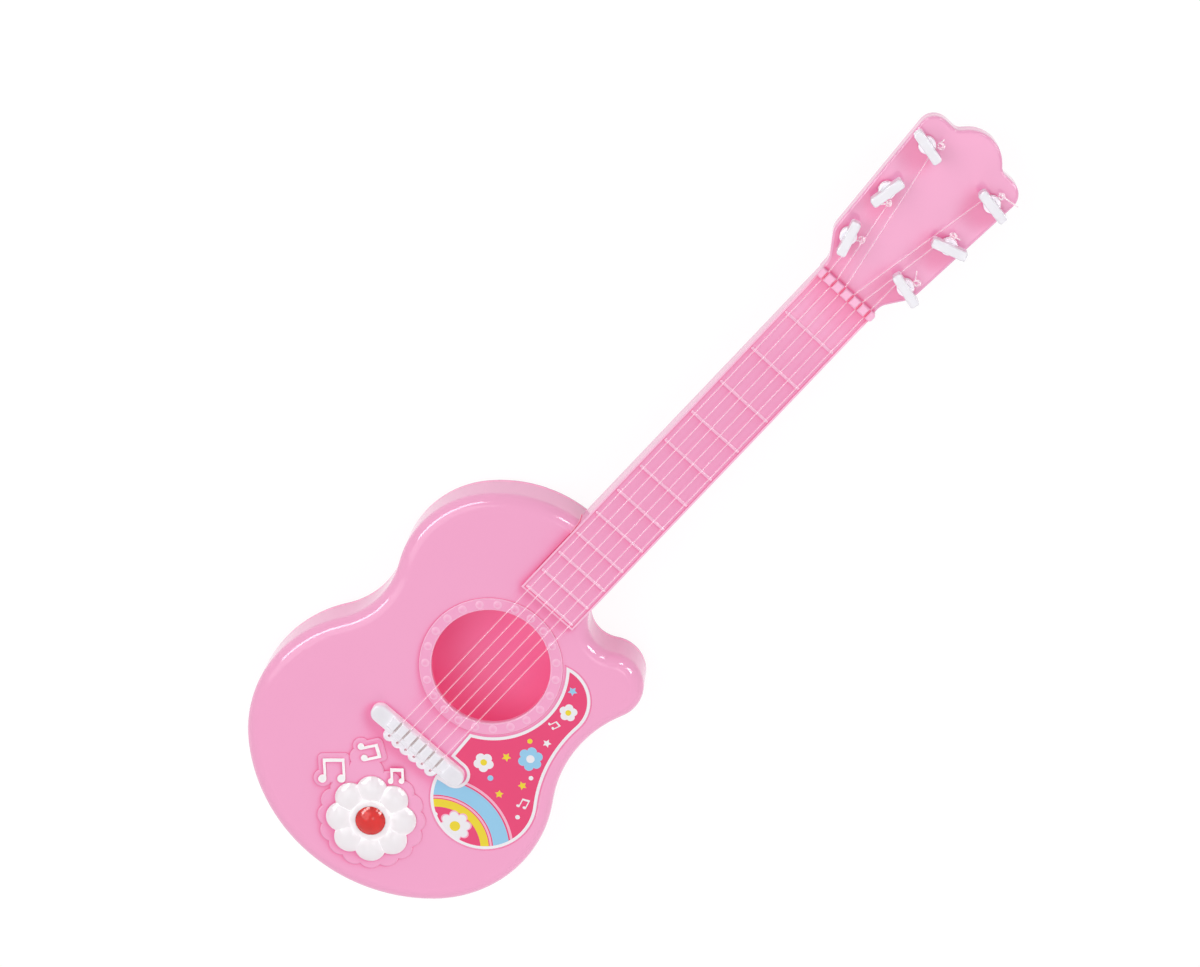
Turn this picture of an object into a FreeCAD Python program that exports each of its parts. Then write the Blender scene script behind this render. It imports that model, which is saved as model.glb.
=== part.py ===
# Toy acoustic guitar with a cutaway, six nylon strings and six tuning pegs, lying on its back.
# Millimetres. X runs across the strings to the treble side, Y along the neck to the headstock,
# Z up out of the face. The origin is on the flat back, below the centre of the sound hole.
import FreeCAD, Part
import os
from math import acos, atan2, cos, pi, radians, sin, sqrt, tan

from FreeCAD import Vector

# ---- Body shells ----
body_depth = 34.0
body_wall = 2.2
front_fillet = 7.0
back_fillet = 4.5
back_height = 6.0  # the seam between the two shells, above the flat back
seam_chamfer = 0.35
lip_height = 2.0  # lip of the back cover inside the front shell
lip_thickness = 1.2
lip_clearance = 0.2

# ---- Outline of the body: circles whose arcs run into each other ----
bout_side_x = 18.3
bout_side_y = -70.5
bout_side_radius = 64.0
bout_bottom_radius = 90.5
upper_x = -24.4
upper_y = 30.0
upper_radius = 49.4
shoulder_radius = 68.5
shoulder_angle = 138.0
horn_x = 50.6
horn_y = 31.0
horn_radius = 17.5
left_waist_radius = 41.0
right_waist_radius = 62.0
cutaway_radius = 16.0
block_corner_radius = 10.0

# ---- Sound hole and its ring ----
hole_radius = 29.8
ring_width = 6.1
ring_height = 1.0
ring_edge = 0.4
hole_lip_fillet = 0.7
bead_count = 23
bead_radius = 2.35
bead_height = 0.45
bead_root = 0.1  # base of the beads below the top of the ring

# ---- Neck ----
neck_half_width = 16.8
neck_wall = 2.0
fingerboard_rise = 1.5  # fingerboard above the face of the body
fingerboard_end = 42.3
heel_start = 53.0
heel_end = 95.0
heel_depth = 22.0
nut_depth = 16.5  # depth of the neck at the nut
neck_corner_radius = 5.0
neck_seam_drop = 8.5  # seam of the two neck halves below the fingerboard
pocket_clearance = 0.2
border_width = 0.9
border_height = 0.35

# ---- Frets ----
fret_count = 12
first_fret_gap = 25.7
fret_gap_ratio = 0.93
fret_radius = 0.95
fret_height = 0.5
fret_half_length = 15.6

# ---- Nut ----
nut_y = 258.0
nut_length = 4.6
nut_half_width = 17.4
nut_corner_radius = 1.5
nut_slot_height = 1.4  # bottom of the slots above the fingerboard
nut_block_height = 1.6
block_chamfer = 0.5
slot_width = 1.1

# ---- Headstock ----
head_drop = 3.0  # face of the headstock below the fingerboard
head_depth = 13.5
head_hip_half_width = 25.4
head_hip_y = 276.5
head_hip_radius = 9.0
head_flare_radius = 8.0
head_top_half_width = 30.3
head_shoulder_y = 349.6
head_corner_radius = 8.0
head_valley_half_width = 14.6
head_valley_radius = 5.0
head_crown_y = 365.0  # where the two slopes of the crown would meet
head_crown_radius = 16.0
head_front_fillet = 1.4
head_back_fillet = 1.6

# ---- Tuning pegs ----
peg_rows = 3
first_peg_y = 279.3
peg_pitch_y = 28.2
peg_row_half_widths = [18.4, 19.9, 20.8]  # from the row by the nut upwards
peg_wing_angles = [106.0, 79.0, -12.5, -9.5, 18.0, -14.5]  # degrees from +X, bass to treble
post_radius = 2.5
post_clearance = 0.08
post_boss_radius = 4.3
flange_radius = 4.1
collar_thickness = 0.8
flange_thickness = 1.3
spool_height = 2.4
peg_end_gap = 0.3
wing_length = 17.6
wing_thickness = 4.7
wing_height = 8.0
wing_corner_radius = 1.3
wing_edge_fillet = 0.7
winding_radius = 3.5
winding_height = 2.0
winding_fit = 0.05
peg_screw_radius = 1.0
peg_screw_reach = 6.0
washer_radius = 4.2
washer_thickness = 0.8

# ---- Strings ----
string_count = 6
string_pitch = 5.45
string_radius = 0.35
string_rest_gap = 0.05
string_wrap_gap = 0.15
string_bend_radius = 1.2
nut_bend_radius = 3.0
knot_radius = 1.3

# ---- Bridge ----
bridge_y = -55.7
bridge_half_length = 29.5
bridge_half_width = 4.7
bridge_height = 5.0
bridge_fillet = 1.1
saddle_back = 1.7  # front edge of the bar to the front of the saddle blocks, at the other side too
saddle_front = 0.3
saddle_height = 1.3
tail_height = 3.6
tail_radius = 3.4
tail_y = -61.3
tail_fillet = 0.6
string_hole_y = -61.6
string_hole_radius = 0.55
tail_hole_radius = 0.75

# ---- Sticker beside the sound hole ----
sticker_thickness = 0.2
sticker_recess = 0.3
sticker_margin = 0.8
sticker_ring_gap = 1.8
sticker_bridge_gap = 1.2
sticker_top_x = 34.0
sticker_top_y = 6.8
sticker_top_radius = 19.7
sticker_top_end_angle = 135.0  # where its top arc ends, in degrees from +X
sticker_low_x = 44.1
sticker_low_y = -56.2
sticker_low_radius = 27.0
sticker_waist_radius = 70.0
sticker_left_x = 15.8
sticker_left_y = -33.0

# ---- Plateau, flower and notes ----
plateau_height = 1.2
plateau_slope = 0.7
flower_x = 9.0
flower_y = -102.5
flower_turn = -6.0  # degrees from a petal on +X, so that a notch lies by the smallest note
petal_count = 8
petal_ring_radius = 15.0
petal_radius = 8.0
petal_base = 1.0
petal_dome = 3.2
core_radius = 10.6
core_height = 3.4
centre_radius = 7.6
centre_seat_depth = 0.6
centre_clearance = 0.1
centre_dome = 3.0
pin_radius = 1.5
pin_clearance = 0.1
pin_circle_radius = 14.0
pin_count = 4
pin_reach = 1.0
scallop_count = 16
scallop_radius = 6.5
plateau_margin = 4.6  # scallops beyond the petals
note_height = 0.8
note_line = 1.3
note_beam = 1.7
note_margin = 2.6  # pad beyond the note, and the radius of its corners
# centre x, centre y, tilt in degrees, width over the stems, stem length, radius of the heads
notes = [
    (-22.3, -94.8, 43.5, 11.0, 10.8, 2.1),
    (-14.2, -75.2, -34.0, 7.6, 8.6, 1.7),
    (3.2, -75.4, 43.5, 6.8, 6.8, 1.4),
]
plateau_fillers = [(-9.0, -86.0, 9.5), (-16.5, -81.5, 5.5)]  # x, y and radius, between the notes

# ---- Screws ----
screw_clearance = 0.25
recess_reach = 0.6  # cross recess of every screw, in head radii from the middle
recess_width = 0.35  # and its width in head radii
thread_clearance = 0.02
body_screw_radius = 1.25
body_screw_head_radius = 3.0
body_screw_head_height = 1.8
body_screw_head_recess = 0.8
body_screw_reach = 8.0
body_boss_radius = 3.6
body_tower_radius = 4.6
body_boss_start = 9.0
body_boss_gap = 1.2  # between the bosses and the front fillet
body_screw_angles = [  # circle of the outline, and degrees round it
    ("upper", 160.0),
    ("shoulder", 105.0),
    ("left waist", 2.0),
    ("left bout", 171.0),
    ("left bout", 236.0),
    ("bottom", 270.0),
    ("right bout", 304.0),
    ("right bout", 9.0),
    ("right waist", 183.0),
    ("horn", 45.0),
]
neck_screw_radius = 1.0
neck_screw_head_radius = 2.2
neck_screw_head_height = 1.4
neck_screw_head_recess = 0.5
neck_screw_reach = 4.5
neck_boss_radius = 3.4
neck_screw_places = [(0.0, 112.0), (0.0, 150.0), (0.0, 188.0), (0.0, 226.0), (0.0, 286.0), (0.0, 328.0)]
joint_screw_radius = 1.4
joint_screw_head_radius = 3.0
joint_screw_head_height = 1.8
joint_screw_reach = 8.0
joint_boss_radius = 3.6
joint_screw_x = 7.5
joint_screw_y = 72.0
bridge_screw_radius = 1.2
bridge_screw_head_radius = 2.6
bridge_screw_head_height = 1.5
bridge_screw_reach = 3.8
bridge_screw_x = 22.5

# ---- Sizes worked out from those above ----
face_z = body_depth
face_under_z = body_depth - body_wall
fingerboard_z = face_z + fingerboard_rise
neck_seam_z = fingerboard_z - neck_seam_drop
head_face_z = fingerboard_z - head_drop
head_back_z = head_face_z - head_depth
nut_back_y = nut_y + nut_length / 2
nut_front_y = nut_y - nut_length / 2
nut_slot_z = fingerboard_z + nut_slot_height
ring_radius = hole_radius + ring_width
ring_z = face_z + ring_height
bridge_z = face_z + bridge_height
plateau_z = face_z + plateau_height
saddle_string_z = bridge_z + string_rest_gap + string_radius
nut_string_z = nut_slot_z + string_rest_gap + string_radius
collar_z = head_face_z + peg_end_gap
spool_z = collar_z + collar_thickness
spool_top_z = spool_z + spool_height
wing_z = spool_top_z + flange_thickness
winding_z = spool_z + spool_height / 2
post_end_z = head_back_z - peg_end_gap
string_xs = [(i - (string_count - 1) / 2) * string_pitch for i in range(string_count)]


# ---- Helpers ----
def turned(angle, length=1.0):
    """Vector of the given length at an angle in radians from +X."""
    return Vector(length * cos(angle), length * sin(angle), 0)


def arc_chain(arcs, inset, z, first_normal=None):
    """Edges of a smooth outline that runs counter-clockwise through arcs, moved inwards by inset.

    Each arc is (centre, radius, normal). A radius below zero bends inwards. normal is the outward
    direction at the arc's end where a straight line follows, or None where the arc runs into the
    next one. With a first_normal the chain stays open."""
    normals = []
    for index, (centre, radius, normal) in enumerate(arcs):
        if normal is None:
            next_centre, next_radius, _ = arcs[(index + 1) % len(arcs)]
            normal = (centre - next_centre) * (1 / (next_radius - radius))
        normals.append(normal)
    edges = []
    last_end = None
    for index, (centre, radius, _) in enumerate(arcs):
        begin = first_normal if first_normal and index == 0 else normals[index - 1]
        finish = normals[index]
        turn = 1 if radius > 0 else -1
        begin_angle = atan2(begin.y, begin.x)
        sweep = (atan2(finish.y, finish.x) - begin_angle) * turn % (2 * pi)
        level = Vector(centre.x, centre.y, z)
        reach = radius - inset
        start, end = level + begin * reach, level + finish * reach
        middle = level + turned(begin_angle + turn * sweep / 2) * reach
        if last_end and last_end.distanceToPoint(start) > 1e-6:
            edges.append(Part.LineSegment(last_end, start).toShape())
        edges.append(Part.Arc(start, middle, end).toShape())
        last_end = end
    return edges


def closed_wire(edges):
    """Wire of the edges, closed with a straight line if its ends are apart."""
    start = edges[0].firstVertex(True).Point
    end = edges[-1].lastVertex(True).Point
    if end.distanceToPoint(start) > 1e-6:
        edges = edges + [Part.LineSegment(end, start).toShape()]
    return Part.Wire(edges)


def touching_centre(centre1, radius1, centre2, radius2, radius, side):
    """Centre of the circle that touches two circles from outside, to one side of their line."""
    span = centre2 - centre1
    distance = span.Length
    reach1, reach2 = radius1 + radius, radius2 + radius
    along = (distance**2 + reach1**2 - reach2**2) / (2 * distance)
    off = sqrt(reach1**2 - along**2)
    direction = span * (1 / distance)
    return centre1 + direction * along + Vector(-direction.y, direction.x, 0) * off * side


def rounded_path(points, radii):
    """Edges of straight runs through points, with an arc of the given radius at each inner corner."""
    trims = []
    for i in range(1, len(points) - 1):
        point = points[i]
        arriving = (point - points[i - 1]).normalize()
        leaving = (points[i + 1] - point).normalize()
        half_turn = arriving.getAngle(leaving) / 2
        trim = radii[i] * tan(half_turn)
        inward = (leaving - arriving).normalize()
        middle = point + inward * (radii[i] / cos(half_turn) - radii[i])
        trims.append((point - arriving * trim, middle, point + leaving * trim))
    edges = []
    start = points[0]
    for arc_start, middle, arc_end in trims:
        edges.append(Part.LineSegment(start, arc_start).toShape())
        edges.append(Part.Arc(arc_start, middle, arc_end).toShape())
        start = arc_end
    edges.append(Part.LineSegment(start, points[-1]).toShape())
    return edges


def prism(wire, height):
    """Solid of a flat wire raised by height."""
    return Part.Face(wire).extrude(Vector(0, 0, height))


def cylinder(x, y, z, radius, height):
    return Part.makeCylinder(radius, height, Vector(x, y, z))


def dome(x, y, z, radius, height):
    """Cap of a sphere with the given base radius and height."""
    sphere_radius = (radius**2 + height**2) / (2 * height)
    sphere = Part.makeSphere(sphere_radius, Vector(x, y, z + height - sphere_radius))
    return sphere.common(cylinder(x, y, z, sphere_radius, height))


def box(low, high):
    """Box between two opposite corners."""
    size = high - low
    return Part.makeBox(size.x, size.y, size.z, low)


def upright_edges(shape):
    """Vertical edges of a shape."""
    return [e for e in shape.Edges if e.BoundBox.ZLength > e.BoundBox.XLength + e.BoundBox.YLength]


def slab(low_z, high_z):
    """Box wider and longer than the guitar between two heights."""
    reach = head_crown_y * 2
    return box(Vector(-reach, -reach, low_z), Vector(reach, reach, high_z))


def placed(shape, x, y, z, angle):
    """Shape turned about the origin by degrees and moved to x, y, z."""
    shape.rotate(Vector(0, 0, 0), Vector(0, 0, 1), angle)
    shape.translate(Vector(x, y, z))
    return shape


def level_edges(shape, z):
    """Edges of a shape that lie flat at height z."""
    bounds = [(edge, edge.BoundBox) for edge in shape.Edges]
    return [edge for edge, b in bounds if abs(b.ZMin - z) < 1e-4 and abs(b.ZMax - z) < 1e-4]


def fused(shapes):
    """One clean solid from shapes that overlap or touch."""
    return shapes[0].multiFuse(shapes[1:]).removeSplitter()


def screw(x, y, head_z, radius, head_radius, head_height, length):
    """Pan-head screw that points up: its head starts at head_z and its shank stands on the head."""
    head = cylinder(x, y, head_z, head_radius, head_height)
    head = head.makeFillet(head_height / 3, level_edges(head, head_z))
    shank = cylinder(x, y, head_z + head_height, radius, length)
    half = Vector(recess_reach, recess_width / 2, 0) * head_radius
    for angle in (0, 90):
        blade = box(-half, half + Vector(0, 0, head_height / 2))
        head = head.cut(placed(blade, x, y, head_z, angle))
    return fused([head, shank])


def save(name, shapes):
    """Write one node: a solid, or a group of separate solids."""
    shape = Part.makeCompound(shapes) if isinstance(shapes, list) else shapes
    shape.exportStep("parts/" + name + ".step")


# ---- Outlines ----
def outline_circles():
    """Centre and radius of each circle of the body's outline; a radius below zero bends inwards."""
    left = Vector(-bout_side_x, bout_side_y, 0)
    right = Vector(bout_side_x, bout_side_y, 0)
    bottom_rise = sqrt((bout_bottom_radius - bout_side_radius) ** 2 - bout_side_x**2)
    bottom = Vector(0, bout_side_y + bottom_rise, 0)
    horn = Vector(horn_x, horn_y, 0)
    upper = Vector(upper_x, upper_y, 0)
    shoulder = upper - turned(radians(shoulder_angle), shoulder_radius - upper_radius)
    right_waist = touching_centre(horn, horn_radius, right, bout_side_radius, right_waist_radius, 1)
    left_waist = touching_centre(left, bout_side_radius, upper, upper_radius, left_waist_radius, 1)
    cutaway_x = neck_half_width + cutaway_radius
    cutaway_rise = sqrt((horn_radius + cutaway_radius) ** 2 - (horn_x - cutaway_x) ** 2)
    cutaway = Vector(cutaway_x, horn_y + cutaway_rise, 0)
    corner = Vector(
        neck_half_width - block_corner_radius, shoulder.y + shoulder_radius - block_corner_radius, 0
    )
    return {
        "left bout": (left, bout_side_radius),
        "bottom": (bottom, bout_bottom_radius),
        "right bout": (right, bout_side_radius),
        "right waist": (right_waist, -right_waist_radius),
        "horn": (horn, horn_radius),
        "cutaway": (cutaway, -cutaway_radius),
        "corner": (corner, block_corner_radius),
        "shoulder": (shoulder, shoulder_radius),
        "upper": (upper, upper_radius),
        "left waist": (left_waist, -left_waist_radius),
    }


def body_outline(inset, z):
    """Outline of the body at height z, moved inwards by inset."""
    straight_after = {"cutaway": Vector(1, 0, 0), "corner": Vector(0, 1, 0)}
    arcs = [
        (centre, radius, straight_after.get(name))
        for name, (centre, radius) in outline_circles().items()
    ]
    return closed_wire(arc_chain(arcs, inset, z))


def body_screw_places():
    """Places of the body screws, all as far from the edge as their bosses need."""
    inset = front_fillet + body_boss_gap + body_boss_radius
    circles = outline_circles()
    places = []
    for name, angle in body_screw_angles:
        centre, radius = circles[name]
        places.append(centre + turned(radians(angle), abs(radius - inset)))
    return [(place.x, place.y) for place in places]


def head_outline(z):
    """Outline of the headstock at height z, from inside the end of the neck to the crown."""
    right = [
        (neck_half_width, nut_y, 0),
        (neck_half_width, nut_back_y + head_flare_radius / 2, head_flare_radius),
        (head_hip_half_width, head_hip_y, head_hip_radius),
        (head_top_half_width, head_shoulder_y, head_corner_radius),
        (head_valley_half_width, head_shoulder_y, head_valley_radius),
    ]
    left = [(-x, y, radius) for x, y, radius in reversed(right)]
    outline = right + [(0, head_crown_y, head_crown_radius)] + left
    points = [Vector(x, y, z) for x, y, _ in outline]
    return closed_wire(rounded_path(points, [radius for _, _, radius in outline]))


def neck_section(y, grow, depth):
    """U-shaped section of the neck at y, grown or shrunk on every side but the top when it grows."""
    half = neck_half_width + grow
    top = fingerboard_z + min(grow, 0)
    bottom = fingerboard_z - depth - grow
    radius = neck_corner_radius + grow
    bend = radius * (1 - cos(pi / 4))
    path = [
        Part.LineSegment(Vector(-half, y, top), Vector(-half, y, bottom + radius)),
        Part.Arc(
            Vector(-half, y, bottom + radius),
            Vector(-half + bend, y, bottom + bend),
            Vector(-half + radius, y, bottom),
        ),
        Part.LineSegment(Vector(-half + radius, y, bottom), Vector(half - radius, y, bottom)),
        Part.Arc(
            Vector(half - radius, y, bottom),
            Vector(half - bend, y, bottom + bend),
            Vector(half, y, bottom + radius),
        ),
        Part.LineSegment(Vector(half, y, bottom + radius), Vector(half, y, top)),
    ]
    return closed_wire([part.toShape() for part in path])


def neck_bottom(y):
    """Height of the underside of the neck and headstock at y."""
    share = min(max((y - heel_end) / (nut_back_y - heel_end), 0), 1)
    depth = heel_depth + (nut_depth - heel_depth) * share
    return fingerboard_z - depth if y < nut_back_y else head_back_z


def heel_block(start, end, grow):
    """Straight part of the neck between two places, grown by a clearance or a wall."""
    section = Part.Face(neck_section(start, grow, heel_depth))
    return section.extrude(Vector(0, end - start, 0))


def sticker_plate(z, height, grow):
    """Plate with the sticker's outline, grown on every side, at height z."""
    top = Vector(sticker_top_x, sticker_top_y, 0)
    low = Vector(sticker_low_x, sticker_low_y, 0)
    waist = touching_centre(
        top, sticker_top_radius, low, sticker_low_radius, sticker_waist_radius, 1
    )
    corner = Vector(sticker_left_x, sticker_left_y, 0)
    low_normal = tangent_normal(corner, low, sticker_low_radius)
    top_normal = turned(radians(sticker_top_end_angle))
    arcs = [
        (low, sticker_low_radius, None),
        (waist, -sticker_waist_radius, None),
        (top, sticker_top_radius, top_normal),
    ]
    edges = arc_chain(arcs, -grow, z, low_normal)
    level = Vector(0, 0, z)
    closing = [edges[-1].lastVertex(True).Point, level, corner + low_normal * grow + level]
    closing.append(edges[0].firstVertex(True).Point)
    runs = [Part.LineSegment(a, b).toShape() for a, b in zip(closing, closing[1:])]
    plate = prism(Part.Wire(edges + runs), height)
    ring_side = cylinder(0, 0, z, ring_radius + sticker_ring_gap - grow, height)
    return plate.cut(ring_side).cut(bridge_footprint(z, height, sticker_bridge_gap - grow))


def tangent_normal(point, centre, radius):
    """Outward normal of the straight line from a point that goes counter-clockwise onto a circle."""
    span = point - centre
    opening = acos(radius / span.Length)
    return turned(atan2(span.y, span.x) + opening)


def bridge_footprint(z, height, grow):
    """Bar and scalloped tail of the bridge as one block, grown on every side."""
    centre_x = bridge_half_length - bridge_half_width
    half = bridge_half_width + grow
    bar = box(Vector(-centre_x, bridge_y - half, z), Vector(centre_x, bridge_y + half, z + height))
    ends = [cylinder(side * centre_x, bridge_y, z, half, height) for side in (-1, 1)]
    tail = [cylinder(x, tail_y, z, tail_radius + grow, height) for x in string_xs]
    return fused([bar] + ends + tail)


# ---- Body ----
def body_block(inset):
    """Body as one rounded block, moved inwards by inset on every side."""
    low_z, high_z = inset, body_depth - inset
    block = prism(body_outline(inset, low_z), high_z - low_z)
    block = block.makeFillet(front_fillet - inset, level_edges(block, high_z))
    return block.makeFillet(back_fillet - inset, level_edges(block, low_z))


def plateau():
    """Raised scalloped plateau under the flower and the notes, with bevelled edges."""
    petal_reach = petal_ring_radius + petal_radius
    scallop_ring = petal_reach + plateau_margin - scallop_radius
    discs = [(flower_x, flower_y, petal_reach)] + plateau_fillers
    for i in range(scallop_count):
        place = flower_place(i / scallop_count, scallop_ring)
        discs.append((place.x, place.y, scallop_radius))
    height = plateau_height + body_wall / 2
    pads = [cylinder(x, y, plateau_z - height, radius, height) for x, y, radius in discs]
    for x, y, tilt, width, stem, head_radius in notes:
        half = Vector(width / 2 + note_margin, stem / 2 + note_margin, 0)
        frame = box(-half, half + Vector(0, 0, height))
        frame = frame.makeFillet(note_margin, upright_edges(frame))
        pads.append(placed(frame, x, y, plateau_z - height, tilt))
        for head_x in note_head_places(width, head_radius):
            head = cylinder(head_x, -stem / 2, 0, head_radius + note_margin, height)
            pads.append(placed(head, x, y, plateau_z - height, tilt))
    return fused([pad.makeChamfer(plateau_slope, level_edges(pad, plateau_z)) for pad in pads])


def flower_place(share, radius):
    """Place round the middle of the flower, at a share of a full turn."""
    return Vector(flower_x, flower_y, 0) + turned(2 * pi * share + radians(flower_turn), radius)


def note_head_places(width, head_radius):
    """Where the two heads of a note lie across it: each to the left of its stem."""
    return [side * width / 2 + (note_line if side < 0 else 0) - head_radius for side in (-1, 1)]


def pin_places():
    return [flower_place(i / pin_count, pin_circle_radius) for i in range(pin_count)]


def neck_pocket(grow):
    """Room for the heel of the neck in the body, grown by a wall where it is asked for."""
    clearance = pocket_clearance + grow
    return heel_block(heel_start - clearance, heel_end, clearance)


def make_body_front():
    outer = body_block(0).common(slab(back_height, body_depth))
    outer = outer.makeChamfer(seam_chamfer, level_edges(outer, back_height))
    ring = cylinder(0, 0, face_under_z, ring_radius, ring_z - face_under_z)
    ring = ring.makeChamfer(ring_edge, level_edges(ring, ring_z))
    outer = fused([outer, ring, plateau()])
    cavity = body_block(body_wall).cut(neck_pocket(body_wall))
    shell = outer.cut(cavity).cut(neck_pocket(0))
    shell = shell.cut(cylinder(0, 0, 0, hole_radius, ring_z * 2))
    rim = [
        edge
        for edge in level_edges(shell, ring_z)
        if abs(edge.BoundBox.XLength - 2 * hole_radius) < 1e-3
    ]
    shell = shell.makeFillet(hole_lip_fillet, rim)
    bosses = [
        cylinder(x, y, body_boss_start, body_boss_radius, face_under_z - body_boss_start + body_wall / 2)
        for x, y in body_screw_places()
    ]
    bead_ring = (hole_radius + ring_radius) / 2
    beads = []
    for i in range(bead_count):
        place = turned(2 * pi * i / bead_count, bead_ring)
        beads.append(dome(place.x, place.y, ring_z - bead_root, bead_radius, bead_height + bead_root))
    shell = fused([shell] + bosses + beads)
    cuts = [sticker_plate(face_z - sticker_recess, sticker_recess * 2, sticker_margin)]
    pilot = body_screw_radius + thread_clearance
    for x, y in body_screw_places():
        cuts.append(cylinder(x, y, body_boss_start, pilot, body_screw_reach + screw_clearance))
    for side in (-1, 1):
        hole = bridge_screw_radius + screw_clearance
        cuts.append(cylinder(side * bridge_screw_x, bridge_y, face_under_z, hole, body_wall * 2))
        hole = joint_screw_radius + screw_clearance
        floor_z = fingerboard_z - heel_depth - pocket_clearance - body_wall
        cuts.append(cylinder(side * joint_screw_x, joint_screw_y, floor_z, hole, body_wall * 2))
    cuts += [cylinder(x, string_hole_y, face_under_z, string_hole_radius, body_wall * 2) for x in string_xs]
    for place in pin_places():
        hole = pin_radius + pin_clearance
        cuts.append(cylinder(place.x, place.y, face_under_z, hole, plateau_z))
    return shell.cut(Part.makeCompound(cuts))


def make_body_back():
    outer = body_block(0).common(slab(0, back_height))
    outer = outer.makeChamfer(seam_chamfer, level_edges(outer, back_height))
    shell = outer.cut(body_block(body_wall))
    lip_outer = body_wall + lip_clearance
    lip_inner = lip_outer + lip_thickness
    lip_top = back_height + lip_height
    foot = prism(body_outline(body_wall / 2, body_wall / 2), back_height - body_wall / 2)
    lip = prism(body_outline(lip_outer, body_wall / 2), lip_top - body_wall / 2)
    room = prism(body_outline(lip_inner, body_wall), lip_top)
    rim = fused([foot, lip]).cut(room).common(fused([outer, lip]))
    towers = [
        cylinder(x, y, body_wall / 2, body_tower_radius, body_boss_start - body_wall / 2)
        for x, y in body_screw_places()
    ]
    shell = fused([shell, rim] + towers)
    seat_z = body_screw_head_recess + body_screw_head_height
    cuts = []
    for x, y in body_screw_places():
        cuts.append(cylinder(x, y, 0, body_screw_head_radius + screw_clearance, seat_z))
        cuts.append(cylinder(x, y, 0, body_screw_radius + screw_clearance, body_boss_start))
    return shell.cut(Part.makeCompound(cuts))


# ---- Neck ----
def neck_block(grow):
    """Neck and headstock as one block; a grow below zero gives the hollow inside.

    The hollow stays below the face of the headstock from a wall's thickness before the nut's back."""
    start = heel_start - grow
    heel = heel_block(start, heel_end, grow)
    sections = [neck_section(heel_end, grow, heel_depth), neck_section(nut_back_y, grow, nut_depth)]
    taper = Part.makeLoft(sections, True, True)
    outline = Part.Face(head_outline(head_back_z - grow))
    if grow:
        outline = outline.makeOffset2D(grow)
        wall_low = Vector(-neck_half_width, nut_back_y + grow, head_face_z + grow)
        taper = taper.cut(box(wall_low, Vector(neck_half_width, nut_back_y, fingerboard_z)))
    head = outline.extrude(Vector(0, 0, head_depth + 2 * grow))
    if not grow:
        front = [e for e in level_edges(head, head_face_z) if e.BoundBox.YMax > nut_back_y]
        head = head.makeFillet(head_front_fillet, front)
        back = [e for e in level_edges(head, head_back_z) if e.BoundBox.YMax > nut_back_y]
        head = head.makeFillet(head_back_fillet, back)
    return fused([heel, taper, head])


def fret_places():
    """Distances of the frets from the sound hole's centre, from the nut down."""
    places = []
    y, gap = nut_y, first_fret_gap
    for _ in range(fret_count):
        y -= gap
        gap *= fret_gap_ratio
        places.append(y)
    return places


def fret(y):
    """Rounded bar across the fingerboard with ball ends, sunk so far that fret_height shows."""
    z = fingerboard_z + fret_height - fret_radius
    reach = fret_half_length - fret_radius
    bar = Part.makeCylinder(fret_radius, 2 * reach, Vector(-reach, y, z), Vector(1, 0, 0))
    ends = [Part.makeSphere(fret_radius, Vector(side * reach, y, z)) for side in (-1, 1)]
    return fused([bar] + ends)


def border():
    """Raised line along both sides and the lower end of the fingerboard."""
    low = fingerboard_z - fingerboard_rise / 2
    high = fingerboard_z + border_height
    outer = box(
        Vector(-neck_half_width, fingerboard_end, low), Vector(neck_half_width, nut_y, high)
    )
    inner = box(
        Vector(-neck_half_width + border_width, fingerboard_end + border_width, low),
        Vector(neck_half_width - border_width, nut_y, high),
    )
    return outer.cut(inner)


def string_blocks(y_low, y_high, z, height, half_width):
    """Chamfered blocks between the strings, from one side of a nut or saddle to the other."""
    edges = [-half_width - slot_width / 2] + string_xs + [half_width + slot_width / 2]
    blocks = []
    for left, right in zip(edges, edges[1:]):
        low = Vector(left + slot_width / 2, y_low, z)
        block = box(low, Vector(right - slot_width / 2, y_high, z + height))
        blocks.append(block.makeChamfer(block_chamfer, level_edges(block, z + height)))
    return blocks


def nut_pieces():
    low = Vector(-nut_half_width, nut_front_y, head_face_z)
    base = box(low, Vector(nut_half_width, nut_back_y, nut_slot_z))
    base = base.makeFillet(nut_corner_radius, upright_edges(base))
    overlap = nut_block_height / 2
    blocks = string_blocks(
        nut_front_y, nut_back_y, nut_slot_z - overlap, nut_block_height + overlap, nut_half_width
    )
    posts = fused([base] + blocks)
    rounding = prism(Part.Wire(level_outline(base)), head_depth + nut_block_height * 2)
    return posts.common(rounding)


def level_outline(shape):
    """Edges of the lowest flat outline of a shape."""
    return Part.__sortEdges__(level_edges(shape, shape.BoundBox.ZMin))


def peg_places():
    """Peg axes from bass to treble: up the bass side, then down the treble side."""
    places = []
    for row in range(peg_rows):
        places.append(Vector(-peg_row_half_widths[row], first_peg_y + row * peg_pitch_y, 0))
    return places + [Vector(-place.x, place.y, 0) for place in reversed(places)]


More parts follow.
